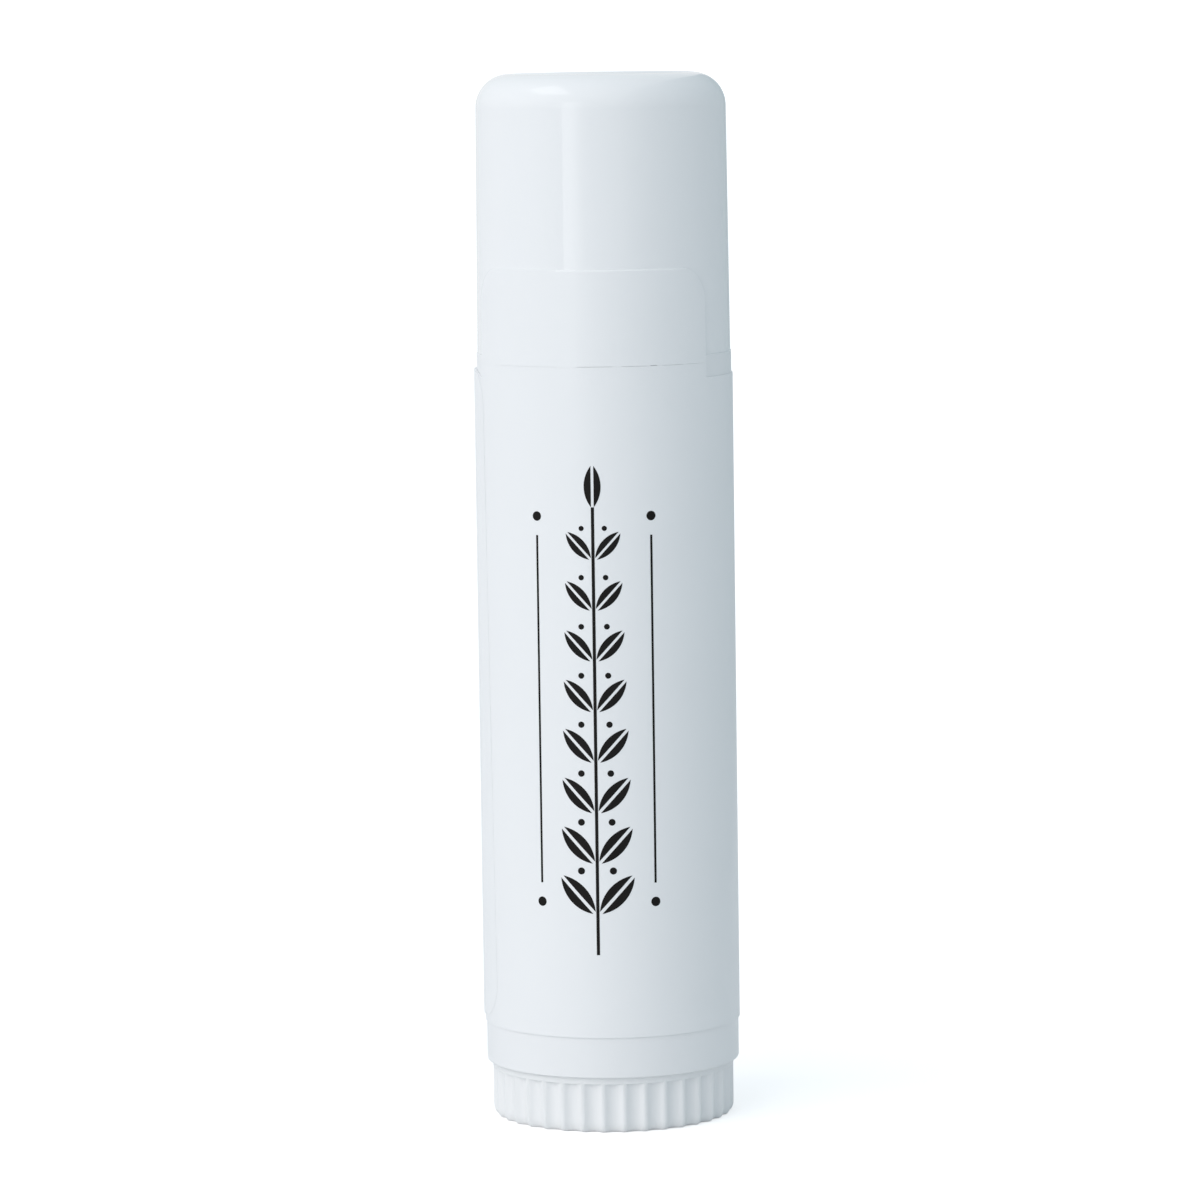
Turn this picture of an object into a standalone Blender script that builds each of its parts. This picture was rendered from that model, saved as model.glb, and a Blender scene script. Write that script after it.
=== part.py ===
"""A twist-up moisturizer stick, standing on its turn wheel with its cap on.

Metres, +Z up. The origin is the middle of the wheel's foot, and the label's tear tab faces -Y.
Angles round the tube are counted in degrees from -Y towards +X.
"""
import math

import bmesh
import bpy
from mathutils import Matrix, Vector

# How finely round shapes are divided
ROUND_STEPS = 60
ARC_STEPS = 3
CAP_ROUND_STEPS = 6
SECTION_STEPS = 12
TWIST_STEPS = 12
NUT_TWIST_STEPS = 24
MERGE_DISTANCE = 0.000001
SMOOTH_BELOW = 35

# Walls, stacked outwards from the bore that the balm runs in
BORE_RADIUS = 0.0062
NECK_WALL = 0.00075
CAP_FIT = 0.00015
CAP_WALL = 0.00095
SHOULDER_STEP = 0.00005
WHEEL_STEP = 0.00035
CAP_DRAFT = 0.00013

# Heights, stacked upwards from the floor
WHEEL_HEIGHT = 0.00355
WHEEL_GAP = 0.0001
BODY_LENGTH = 0.0454
NECK_LENGTH = 0.01145
BALM_CROWN = 0.0007
CAP_HEADROOM = 0.0045
CAP_TOP_WALL = 0.001
CAP_SEAT_GAP = 0.00015

# Cap: its rounded top edge, its rim and the groove that its snap bead springs into
CAP_TOP_ROUND = 0.0021
CAP_INNER_ROUND = 0.0012
CAP_RIM_ROUND = 0.00012
CAP_LEAD_IN = 0.0002
NECK_BEAD_RISE = 0.00008
NECK_BEAD_WIDTH = 0.0009
NECK_BEAD_HEIGHT = 0.0022
SNAP_CLEARANCE = 0.00015

# Barrel: its edges and the ribs that keep the carrier from turning
BARREL_EDGE_ROUND = 0.0004
SHOULDER_EDGE_ROUND = 0.00012
LIP_ROUND = 0.0003
RIB_COUNT = 2
RIB_HEIGHT = 0.0003
RIB_WIDTH = 0.0009
RIB_ROOT = 0.0003
RIB_DROP = 0.0045
RIB_CLEARANCE = 0.00015

# Turn wheel: its foot, its flutes, the plug that snaps into the barrel and the spindle
FOOT_WIDTH = 0.0021
FOOT_RECESS = 0.0004
WHEEL_EDGE_ROUND = 0.00045
COLLAR_HEIGHT = 0.0004
COLLAR_EDGE_ROUND = 0.0001
FLUTE_COUNT = 36
FLUTE_DEPTH = 0.00025
FLUTE_WIDTH_SHARE = 0.76
FLUTE_SIDES = 16
RUNNING_GAP = 0.00015
PLUG_FOOT = 0.0007
BEAD_WIDTH = 0.0007
PLUG_HEAD = 0.0007
BEAD_RISE = 0.00026
THREAD_STARTS = 2
THREAD_LEAD = 0.004
THREAD_ROOT = 0.0013
THREAD_RISE = 0.00045
THREAD_CLEARANCE = 0.0002
SPINDLE_CORE_INSET = 0.00015
SPINDLE_DROP = 0.0055
SPINDLE_TIP = 0.0012
SPINDLE_POINT_SHARE = 0.5

# Carrier cup and the balm that is cast into it
CUP_REST_GAP = 0.0003
CUP_FLOOR = 0.0008
CUP_WALL = 0.0008
CUP_DEPTH = 0.0054
HUB_WALL = 0.0009
BALM_GAP = 0.00015
BALM_CLEAR_OF_TIP = 0.0003
CROWN_SHARES = (0.35, 0.6, 0.8, 0.93)
CROWN_POWER = 4

# Wrap label and its tear tab: film, glue line and outline
FILM_THICKNESS = 0.00008
GLUE_LINE = 0.00002
LABEL_FOOT = 0.00255
LABEL_HEAD = 0.00136
LABEL_CORNER = 0.0019
SEAM_START = -84
SEAM_END_LOW = -63.2
SEAM_END_HIGH = -69.8
SEAM_RAMP = 12
SEAM_RAMP_END = 6
FULL_TURN = 360
TAB_LEFT = -71
TAB_RIGHT = 51.7
TAB_RISE = 0.0055
PERFORATION_DROP = 0.00035
PERFORATION_GAP = 0.0001

# How far a cutter runs past the face it cuts
OVERRUN = 0.001

# Radii and heights that follow from the sizes above
neck_radius = BORE_RADIUS + NECK_WALL
cap_bore = neck_radius + CAP_FIT
cap_radius = cap_bore + CAP_WALL
barrel_radius = cap_radius + SHOULDER_STEP
wheel_radius = barrel_radius - WHEEL_STEP
running_radius = BORE_RADIUS - RUNNING_GAP
bead_radius = running_radius + BEAD_RISE
thread_crest = THREAD_ROOT + THREAD_RISE
hub_radius = thread_crest + THREAD_CLEARANCE + HUB_WALL

barrel_foot = WHEEL_HEIGHT + WHEEL_GAP
shoulder = barrel_foot + BODY_LENGTH
mouth = shoulder + NECK_LENGTH
balm_top = mouth + BALM_CROWN
cap_ceiling = balm_top + CAP_HEADROOM
cap_top = cap_ceiling + CAP_TOP_WALL
cap_rim = shoulder + CAP_SEAT_GAP
bead_middle = WHEEL_HEIGHT + PLUG_FOOT + BEAD_WIDTH / 2
plug_top = WHEEL_HEIGHT + PLUG_FOOT + BEAD_WIDTH + PLUG_HEAD
cup_floor = plug_top + CUP_REST_GAP
cup_rim = cup_floor + CUP_FLOOR + CUP_DEPTH
thread_top = mouth - SPINDLE_DROP
spindle_top = thread_top + SPINDLE_TIP
rib_top = mouth - RIB_DROP
label_foot = barrel_foot + LABEL_FOOT
label_head = shoulder - LABEL_HEAD
perforation = shoulder - PERFORATION_DROP
tab_head = cap_rim + TAB_RISE


def clear_scene():
    for thing in list(bpy.data.objects):
        bpy.data.objects.remove(thing, do_unlink=True)


def new_collection(name):
    collection = bpy.data.collections.new(name)
    bpy.context.scene.collection.children.link(collection)
    return collection


def new_material(name, colour, roughness):
    material = bpy.data.materials.new(name)
    material.use_nodes = True
    shader = material.node_tree.nodes["Principled BSDF"]
    shader.inputs["Base Color"].default_value = (*colour, 1)
    shader.inputs["Roughness"].default_value = roughness
    shader.inputs["Metallic"].default_value = 0
    return material


def place(mesh, name, collection):
    thing = bpy.data.objects.new(name, mesh)
    collection.objects.link(thing)
    return thing


def hide_tool(tool):
    tool.hide_render = True
    tool.display_type = 'WIRE'
    return tool


def arc(centre_radius, centre_height, radius, start, end, steps=ARC_STEPS):
    """Points of a profile along an arc. Zero degrees is outwards and 90 degrees is up."""
    points = []
    for step in range(steps + 1):
        angle = math.radians(start + (end - start) * step / steps)
        across = centre_radius + radius * math.cos(angle)
        height = centre_height + radius * math.sin(angle)
        points.append((across, height))
    return points


def ridge(foot_radius, crest_radius, height, width):
    """A bead or a groove in a wall, as four points of its profile from top to bottom."""
    half = width / 2
    quarter = width / 4
    return [(foot_radius, height + half), (crest_radius, height + quarter),
            (crest_radius, height - quarter), (foot_radius, height - half)]


def turned(name, profile, closed, collection):
    """Spin a profile of (radius, height) points round the Z axis."""
    mesh = bpy.data.meshes.new(name)
    edges = [(index, index + 1) for index in range(len(profile) - 1)]
    if closed:
        edges.append((len(profile) - 1, 0))
    mesh.from_pydata([(radius, 0, height) for radius, height in profile], edges, [])
    thing = place(mesh, name, collection)
    screw = thing.modifiers.new("Turn", 'SCREW')
    screw.axis = 'Z'
    screw.steps = ROUND_STEPS
    screw.render_steps = ROUND_STEPS
    screw.use_merge_vertices = True
    screw.merge_threshold = MERGE_DISTANCE
    return thing


def combine(piece, tool, operation):
    boolean = piece.modifiers.new(operation.title(), 'BOOLEAN')
    boolean.operation = operation
    boolean.solver = 'EXACT'
    boolean.object = tool


def finish(piece, material, origin_height):
    """Apply the modifiers, move the origin up the axis and smooth the round faces."""
    depsgraph = bpy.context.evaluated_depsgraph_get()
    mesh = bpy.data.meshes.new_from_object(piece.evaluated_get(depsgraph))
    mesh.name = piece.name
    piece.modifiers.clear()
    piece.data = mesh
    mesh.transform(Matrix.Translation((0, 0, -origin_height)))
    piece.location.z = origin_height
    mesh.materials.clear()
    mesh.materials.append(material)
    mesh.shade_smooth()
    mesh.set_sharp_from_angle(angle=math.radians(SMOOTH_BELOW))
    return piece


def twisted_bar(name, low, high, clearance, steps_per_turn, collection):
    """An oval bar twisted left-handed about the Z axis: its two lobes are a two-start thread."""
    steps = math.ceil((high - low) / THREAD_LEAD * steps_per_turn)
    turn = math.tau * (high - low) / THREAD_LEAD
    phase = math.tau * low / THREAD_LEAD
    shape = bmesh.new()
    corners = []
    for step in range(SECTION_STEPS):
        angle = math.tau * step / SECTION_STEPS
        lobe = (1 + math.cos(THREAD_STARTS * angle)) / 2
        radius = THREAD_ROOT + clearance + THREAD_RISE * lobe
        corners.append(shape.verts.new((radius * math.cos(angle - phase),
                                        radius * math.sin(angle - phase), low)))
    shape.faces.new(corners)
    bmesh.ops.spin(shape, geom=shape.faces[:] + shape.edges[:] + shape.verts[:],
                   cent=(0, 0, 0), axis=(0, 0, -1), dvec=(0, 0, (high - low) / steps),
                   angle=turn, steps=steps, use_duplicate=False)
    bmesh.ops.recalc_face_normals(shape, faces=shape.faces[:])
    mesh = bpy.data.meshes.new(name)
    shape.to_mesh(mesh)
    shape.free()
    return place(mesh, name, collection)


def add_box(shape, low, high, angle):
    """A box between two corners, turned by an angle about the Z axis."""
    size = Vector(high) - Vector(low)
    middle = (Vector(high) + Vector(low)) / 2
    matrix = Matrix.Rotation(angle, 4, 'Z') @ Matrix.Translation(middle) @ Matrix.Diagonal((*size, 1))
    bmesh.ops.create_cube(shape, size=1, matrix=matrix)


def rib_boxes(name, inner, outer, width, low, high, collection):
    """One box for each anti-turning rib, spaced evenly round the bore."""
    shape = bmesh.new()
    for index in range(RIB_COUNT):
        add_box(shape, (inner, -width / 2, low), (outer, width / 2, high), math.tau * index / RIB_COUNT)
    mesh = bpy.data.meshes.new(name)
    shape.to_mesh(mesh)
    shape.free()
    return hide_tool(place(mesh, name, collection))


def rib_slots(name, low, high, collection):
    """The boxes that cut a rib's running slot into the cup or the balm."""
    inner = BORE_RADIUS - RIB_HEIGHT - RIB_CLEARANCE
    return rib_boxes(name, inner, BORE_RADIUS + OVERRUN, RIB_WIDTH + 2 * RIB_CLEARANCE, low, high, collection)


def fillet(before, corner, after, radius):
    """Round one corner of a flat outline with an arc that touches both of its sides."""
    if radius == 0:
        return [corner]
    corner = Vector(corner)
    to_before = (Vector(before) - corner).normalized()
    to_after = (Vector(after) - corner).normalized()
    half = to_before.angle(to_after) / 2
    middle = corner + (to_before + to_after).normalized() * radius / math.sin(half)
    start = corner + to_before * radius / math.tan(half) - middle
    end = corner + to_after * radius / math.tan(half) - middle
    points = []
    for step in range(ARC_STEPS + 1):
        share = step / ARC_STEPS
        points.append(tuple(middle + start.slerp(end, share).normalized() * radius))
    return points


def rounded_outline(corners):
    """An outline's points, from corners given as (along, height, radius)."""
    points = []
    for index, (along, height, radius) in enumerate(corners):
        before = corners[index - 1][:2]
        after = corners[(index + 1) % len(corners)][:2]
        points += fillet(before, (along, height), after, radius)
    return points


def to_length(degrees):
    return math.radians(degrees) * barrel_radius


def to_degrees(length):
    return math.degrees(length / barrel_radius)


def wrapped_film(name, outline, radius_at, collection):
    """Cut a flat outline into strips, wrap it round the tube and give it the film's thickness."""
    shape = bmesh.new()
    shape.faces.new([shape.verts.new((along, 0, height)) for along, height in outline])
    strip = FULL_TURN / ROUND_STEPS
    first = min(along for along, height in outline)
    last = max(along for along, height in outline)
    for index in range(math.ceil(to_degrees(first) / strip), math.floor(to_degrees(last) / strip) + 1):
        bmesh.ops.bisect_plane(shape, geom=shape.faces[:] + shape.edges[:] + shape.verts[:],
                               dist=MERGE_DISTANCE, plane_co=(to_length(index * strip), 0, 0),
                               plane_no=(1, 0, 0))
    bmesh.ops.triangulate(shape, faces=shape.faces[:])
    for vertex in shape.verts:
        degrees = to_degrees(vertex.co.x)
        radius = radius_at(degrees, vertex.co.z)
        angle = math.radians(degrees)
        vertex.co = (radius * math.sin(angle), -radius * math.cos(angle), vertex.co.z)
    mesh = bpy.data.meshes.new(name)
    shape.to_mesh(mesh)
    shape.free()
    thing = place(mesh, name, collection)
    wall = thing.modifiers.new("Film", 'SOLIDIFY')
    wall.thickness = FILM_THICKNESS
    wall.offset = 1
    wall.use_even_offset = True
    return thing


def make_cap(parts):
    """The pull-off cap, open below, with a well rounded top edge."""
    top_radius = cap_radius - CAP_DRAFT
    profile = [(0, cap_top)]
    profile += arc(top_radius - CAP_TOP_ROUND, cap_top - CAP_TOP_ROUND, CAP_TOP_ROUND, 90, 0,
                   CAP_ROUND_STEPS)
    profile += arc(cap_radius - CAP_RIM_ROUND, cap_rim + CAP_RIM_ROUND, CAP_RIM_ROUND, 0, -90)
    profile += [(cap_bore + CAP_LEAD_IN, cap_rim), (cap_bore, cap_rim + CAP_LEAD_IN)]
    groove = ridge(cap_bore, cap_bore + NECK_BEAD_RISE, shoulder + NECK_BEAD_HEIGHT,
                   NECK_BEAD_WIDTH + SNAP_CLEARANCE)
    profile += reversed(groove)
    profile += arc(cap_bore - CAP_INNER_ROUND, cap_ceiling - CAP_INNER_ROUND, CAP_INNER_ROUND, 0, 90)
    profile += [(0, cap_ceiling)]
    return turned("cap", profile, False, parts)


def make_barrel(parts, cutters):
    """The tube with its neck, the snap groove for the wheel and the anti-turning ribs."""
    profile = arc(neck_radius - LIP_ROUND, mouth - LIP_ROUND, LIP_ROUND, 90, 0)
    profile += ridge(neck_radius, neck_radius + NECK_BEAD_RISE, shoulder + NECK_BEAD_HEIGHT,
                     NECK_BEAD_WIDTH)
    profile += [(neck_radius, shoulder)]
    profile += arc(barrel_radius - SHOULDER_EDGE_ROUND, shoulder - SHOULDER_EDGE_ROUND,
                   SHOULDER_EDGE_ROUND, 90, 0)
    profile += arc(barrel_radius - BARREL_EDGE_ROUND, barrel_foot + BARREL_EDGE_ROUND,
                   BARREL_EDGE_ROUND, 0, -90)
    profile += [(BORE_RADIUS, barrel_foot)]
    groove = ridge(BORE_RADIUS, bead_radius + SNAP_CLEARANCE, bead_middle,
                   BEAD_WIDTH + 2 * SNAP_CLEARANCE)
    profile += reversed(groove)
    profile += [(BORE_RADIUS, mouth)]
    barrel = turned("barrel", profile, True, parts)
    ribs = rib_boxes("rib_tool", BORE_RADIUS - RIB_HEIGHT, BORE_RADIUS + RIB_ROOT, RIB_WIDTH,
                     cup_floor, rib_top, cutters)
    combine(barrel, ribs, 'UNION')
    return barrel


def flute_tool(cutters):
    """One round bar for each flute, standing partly inside the wheel's rim."""
    width = math.tau * wheel_radius / FLUTE_COUNT * FLUTE_WIDTH_SHARE
    radius = (width * width / 4 + FLUTE_DEPTH * FLUTE_DEPTH) / (2 * FLUTE_DEPTH)
    height = WHEEL_HEIGHT - COLLAR_HEIGHT + OVERRUN
    middle = (WHEEL_HEIGHT - COLLAR_HEIGHT - OVERRUN) / 2
    outwards = Matrix.Translation((wheel_radius - FLUTE_DEPTH + radius, 0, middle))
    flat_inwards = Matrix.Rotation(math.pi / FLUTE_SIDES, 4, 'Z')
    shape = bmesh.new()
    for index in range(FLUTE_COUNT):
        turn = Matrix.Rotation(math.tau * index / FLUTE_COUNT, 4, 'Z')
        bmesh.ops.create_cone(shape, cap_ends=True, segments=FLUTE_SIDES, radius1=radius, radius2=radius,
                              depth=height, matrix=turn @ outwards @ flat_inwards)
    mesh = bpy.data.meshes.new("flute_tool")
    shape.to_mesh(mesh)
    shape.free()
    return hide_tool(place(mesh, "flute_tool", cutters))


def make_wheel(parts, cutters):
    """The fluted turn wheel, moulded in one with its snap plug and its threaded spindle."""
    core = THREAD_ROOT - SPINDLE_CORE_INSET
    point = core * SPINDLE_POINT_SHARE
    foot_radius = wheel_radius - WHEEL_EDGE_ROUND
    profile = [(0, spindle_top), (point, spindle_top), (core, spindle_top - (core - point)),
               (core, plug_top), (running_radius, plug_top)]
    profile += ridge(running_radius, bead_radius, bead_middle, BEAD_WIDTH)
    profile += [(running_radius, WHEEL_HEIGHT)]
    profile += arc(wheel_radius - COLLAR_EDGE_ROUND, WHEEL_HEIGHT - COLLAR_EDGE_ROUND,
                   COLLAR_EDGE_ROUND, 90, 0)
    profile += arc(foot_radius, WHEEL_EDGE_ROUND, WHEEL_EDGE_ROUND, 0, -90)
    profile += [(foot_radius - FOOT_WIDTH, 0), (foot_radius - FOOT_WIDTH - FOOT_RECESS, FOOT_RECESS),
                (0, FOOT_RECESS)]
    wheel = turned("turn_wheel", profile, False, parts)
    thread = hide_tool(twisted_bar("thread_tool", WHEEL_HEIGHT, thread_top, 0, TWIST_STEPS, cutters))
    combine(wheel, flute_tool(cutters), 'DIFFERENCE')
    combine(wheel, thread, 'UNION')
    return wheel


def make_cup(parts, cutters):
    """The carrier cup: a hub that runs on the spindle, a floor and a wall slotted for the ribs."""
    floor_top = cup_floor + CUP_FLOOR
    inner = running_radius - CUP_WALL
    profile = [(0, cup_rim), (hub_radius, cup_rim), (hub_radius, floor_top), (inner, floor_top),
               (inner, cup_rim), (running_radius, cup_rim), (running_radius, cup_floor), (0, cup_floor)]
    cup = turned("carrier_cup", profile, False, parts)
    nut = twisted_bar("nut_tool", cup_floor - OVERRUN, cup_rim + OVERRUN, THREAD_CLEARANCE,
                      NUT_TWIST_STEPS, cutters)
    combine(cup, hide_tool(nut), 'DIFFERENCE')
    combine(cup, rib_slots("cup_slot_tool", cup_floor - OVERRUN, cup_rim + OVERRUN, cutters), 'DIFFERENCE')
    return cup


def make_balm(parts, cutters):
    """The stick of balm, cast round the spindle and keyed into the cup, with a crowned top."""
    radius = BORE_RADIUS - BALM_GAP
    seat = cup_rim + BALM_GAP
    floor = cup_floor + CUP_FLOOR + BALM_GAP
    bore = thread_crest + BALM_GAP
    bore_top = spindle_top + BALM_CLEAR_OF_TIP
    profile = [(0, balm_top)]
    for share in CROWN_SHARES:
        profile.append((radius * share, mouth + BALM_CROWN * (1 - share ** CROWN_POWER)))
    profile += [(radius, mouth), (radius, seat), (running_radius - CUP_WALL - BALM_GAP, seat),
                (running_radius - CUP_WALL - BALM_GAP, floor), (hub_radius + BALM_GAP, floor),
                (hub_radius + BALM_GAP, seat), (bore, seat), (bore, bore_top), (0, bore_top)]
    balm = turned("balm_stick", profile, False, parts)
    combine(balm, rib_slots("balm_slot_tool", cup_floor, rib_top + RIB_CLEARANCE, cutters), 'DIFFERENCE')
    return balm


def label_radius(degrees, height):
    """The label's inner face: on the barrel, then lifted where its end laps over its start."""
    lap = SEAM_START + FULL_TURN - SEAM_RAMP_END
    lift = min(max((degrees - lap + SEAM_RAMP) / SEAM_RAMP, 0), 1)
    return barrel_radius + GLUE_LINE + lift * (FILM_THICKNESS + GLUE_LINE)


def make_label(parts):
    """The wrap label: one turn and a short lap, with a neck that reaches up to the perforation."""
    start = to_length(SEAM_START)
    neck_head = perforation - PERFORATION_GAP / 2
    corners = [(start, label_foot, 0),
               (to_length(SEAM_END_LOW + FULL_TURN), label_foot, LABEL_CORNER),
               (to_length(SEAM_END_HIGH + FULL_TURN), label_head, LABEL_CORNER),
               (to_length(TAB_RIGHT), label_head, 0),
               (to_length(TAB_RIGHT), neck_head, 0),
               (to_length(TAB_LEFT), neck_head, 0),
               (to_length(TAB_LEFT), label_head, 0),
               (start, label_head, 0)]
    return wrapped_film("wrap_label", rounded_outline(corners), label_radius, parts)


def tab_radius(degrees, height):
    """The tab's inner face: on the barrel at its foot, leaning in with the cap above."""
    foot = perforation + PERFORATION_GAP / 2
    lean = CAP_DRAFT * (tab_head - cap_rim) / (cap_top - CAP_TOP_ROUND - cap_rim)
    share = (height - foot) / (tab_head - foot)
    return barrel_radius + GLUE_LINE - share * (SHOULDER_STEP + lean)


def make_tab(parts):
    """The label's tear tab, glued to the cap and torn off the label along the perforation."""
    foot = perforation + PERFORATION_GAP / 2
    corners = [(to_length(TAB_LEFT), foot, 0), (to_length(TAB_RIGHT), foot, 0),
               (to_length(TAB_RIGHT), tab_head, LABEL_CORNER), (to_length(TAB_LEFT), tab_head, LABEL_CORNER)]
    return wrapped_film("tear_tab", rounded_outline(corners), tab_radius, parts)


def add_axis(name, height, parts, pieces):
    """An empty on the tube's axis that carries the pieces which move together."""
    empty = bpy.data.objects.new(name, None)
    empty.empty_display_size = BORE_RADIUS
    empty.location.z = height
    parts.objects.link(empty)
    for piece in pieces:
        piece.parent = empty
        piece.location.z -= height
    return empty


def build():
    clear_scene()
    parts = new_collection("moisturizer_stick")
    cutters = new_collection("cutters")
    gloss = new_material("white_moulding", (0.86, 0.87, 0.88), 0.22)
    film = new_material("label_film", (0.88, 0.89, 0.9), 0.38)
    wax = new_material("balm_wax", (0.9, 0.84, 0.68), 0.45)
    nylon = new_material("carrier_moulding", (0.8, 0.81, 0.82), 0.4)

    barrel = make_barrel(parts, cutters)
    wheel = make_wheel(parts, cutters)
    cup = make_cup(parts, cutters)
    balm = make_balm(parts, cutters)
    cap = make_cap(parts)
    label = make_label(parts)
    tab = make_tab(parts)

    finish(barrel, gloss, barrel_foot)
    finish(wheel, gloss, 0)
    finish(cup, nylon, cup_floor)
    finish(balm, wax, cup_floor)
    finish(cap, gloss, cap_rim)
    finish(label, film, barrel_foot)
    finish(tab, film, cap_rim)

    label.parent = barrel
    label.location.z -= barrel_foot
    add_axis("wheel_axis", 0, parts, [wheel])
    add_axis("carrier_axis", cup_floor, parts, [cup, balm])
    add_axis("cap_axis", cap_rim, parts, [cap, tab])


build()
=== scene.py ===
# %% [markdown]
# # A twist-up moisturizer stick
# This script dresses a working CAD model of a balm tube for a studio picture. The CAD model
# already has every part at its right size and place, and knows how the parts move. What it
# lacks is finish: round shapes are coarse, the film has no print and nothing has a surface.
# Each part is therefore modelled again here, finely, and tied to the CAD body it moves with.
# The first lines must load that model, because every later piece is placed by it.

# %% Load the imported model
import math

import bmesh
import bpy
from mathutils import Matrix, Vector


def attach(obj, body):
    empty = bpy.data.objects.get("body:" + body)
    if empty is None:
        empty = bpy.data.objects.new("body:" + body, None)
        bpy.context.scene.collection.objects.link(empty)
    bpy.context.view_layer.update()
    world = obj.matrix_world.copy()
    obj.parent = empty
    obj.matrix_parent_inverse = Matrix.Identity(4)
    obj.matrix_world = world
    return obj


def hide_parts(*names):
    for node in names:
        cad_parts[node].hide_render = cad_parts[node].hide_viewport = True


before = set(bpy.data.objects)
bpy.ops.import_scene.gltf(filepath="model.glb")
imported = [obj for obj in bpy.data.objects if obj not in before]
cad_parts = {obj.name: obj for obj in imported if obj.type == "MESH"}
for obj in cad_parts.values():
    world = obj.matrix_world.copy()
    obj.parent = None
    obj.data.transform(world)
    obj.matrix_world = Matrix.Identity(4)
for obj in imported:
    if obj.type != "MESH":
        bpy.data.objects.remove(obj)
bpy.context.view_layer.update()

MM = 0.001
print("nodes:", sorted(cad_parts))

# %% [markdown]
# ## The camera
# The picture was taken with a long lens, from a little higher than the cap's top and tipped
# down by six degrees. Such a camera could be found by trial, but it was worked out from the
# ellipses that the round edges make in the picture. The small roll of less than one degree
# leans the whole stick as it leans in the picture. A long lens is a narrow angle of view, so
# the camera's lens is 171 mm on a 36 mm sensor.

# %% Place the camera
CAMERA_PLACE = (-0.000457, -0.36291, 0.07165)
TIPPED_DOWN = 6.061
ROLLED = -0.782

camera_data = bpy.data.cameras.new("camera")
camera_data.lens = 171.15
camera_data.sensor_width = 36
camera = bpy.data.objects.new("camera", camera_data)
bpy.context.scene.collection.objects.link(camera)
camera.matrix_world = (Matrix.Translation(CAMERA_PLACE)
                       @ Matrix.Rotation(math.radians(90 - TIPPED_DOWN), 4, 'X')
                       @ Matrix.Rotation(math.radians(ROLLED), 4, 'Z'))
bpy.context.scene.camera = camera
bpy.context.scene.view_settings.view_transform = 'Standard'
print("camera stands", round(-camera.location.y / MM), "mm in front of the stick")

# %% [markdown]
# ## A white room
# The background must be white without pouring white light on the stick, or its pale plastic
# would lose all its shading. Light Path tells the shader what kind of ray has arrived. Rays
# from the camera and through glass see plain white, mirror rays see nearly white, and all the
# others see a dimmer, cooler sky, which fills the shadows. For the camera the white is a tenth
# brighter than paper white, so that cleaning the picture of noise never leaves it grey.

# %% Tell the rays apart


def math_node(tree, operation, first, second):
    """A math node between two sockets, or between a socket and a number."""
    node = tree.nodes.new("ShaderNodeMath")
    node.operation = operation
    tree.links.new(first, node.inputs[0])
    if isinstance(second, (int, float)):
        node.inputs[1].default_value = second
    else:
        tree.links.new(second, node.inputs[1])
    return node.outputs[0]


def white_rays(tree, mirror_share):
    """1 for camera and glass rays, a share for mirror rays and 0 for the rest."""
    path = tree.nodes.new("ShaderNodeLightPath")
    mirror = math_node(tree, 'MULTIPLY', path.outputs["Is Glossy Ray"], mirror_share)
    camera_ray, glass_ray = path.outputs["Is Camera Ray"], path.outputs["Is Transmission Ray"]
    direct = math_node(tree, 'MAXIMUM', camera_ray, glass_ray)
    return math_node(tree, 'MAXIMUM', direct, mirror)


# %% Make the sky
SKY_COLOUR = (0.873, 1.0, 1.08, 1)
SKY_STRENGTH = 0.607
WHITE_IN_GLOSS = 0.75
CAMERA_MARGIN = 0.1

sky = bpy.data.worlds.new("studio_sky")
bpy.context.scene.world = sky
sky.use_nodes = True
sky_nodes, sky_links = sky.node_tree.nodes, sky.node_tree.links
fill = sky_nodes["Background"]
fill.inputs["Color"].default_value = SKY_COLOUR
fill.inputs["Strength"].default_value = SKY_STRENGTH
plain_white = sky_nodes.new("ShaderNodeBackground")
plain_white.inputs["Color"].default_value = (1, 1, 1, 1)
seen = sky_nodes.new("ShaderNodeLightPath").outputs["Is Camera Ray"]
margin = math_node(sky.node_tree, 'MULTIPLY', seen, CAMERA_MARGIN)
sky_links.new(math_node(sky.node_tree, 'ADD', margin, 1), plain_white.inputs["Strength"])
choice = sky_nodes.new("ShaderNodeMixShader")
sky_links.new(white_rays(sky.node_tree, WHITE_IN_GLOSS), choice.inputs[0])
sky_links.new(fill.outputs[0], choice.inputs[1])
sky_links.new(plain_white.outputs[0], choice.inputs[2])
sky_links.new(choice.outputs[0], sky_nodes["World Output"].inputs[0])
print("fill light strength:", SKY_STRENGTH)

# %% [markdown]
# ## The floor
# The stick stands on a seamless white sweep. A very large plane does the same and has no
# visible horizon. Its material is plain pale grey for light, so that it keeps the stick's soft
# shadow, and it glows a little for camera and mirror rays only, which lifts it to white.

# %% Lay the floor


def choose_nothing():
    """Leave edit mode and deselect every object, the CAD model's included."""
    if bpy.context.object and bpy.context.object.mode != 'OBJECT':
        bpy.ops.object.mode_set(mode='OBJECT')
    bpy.ops.object.select_all(action='DESELECT')


FLOOR_WIDTH = 60
PAPER_GREY = 0.77
PAPER_GLOW = 0.5
PAPER_IN_GLOSS = 0.3

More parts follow.
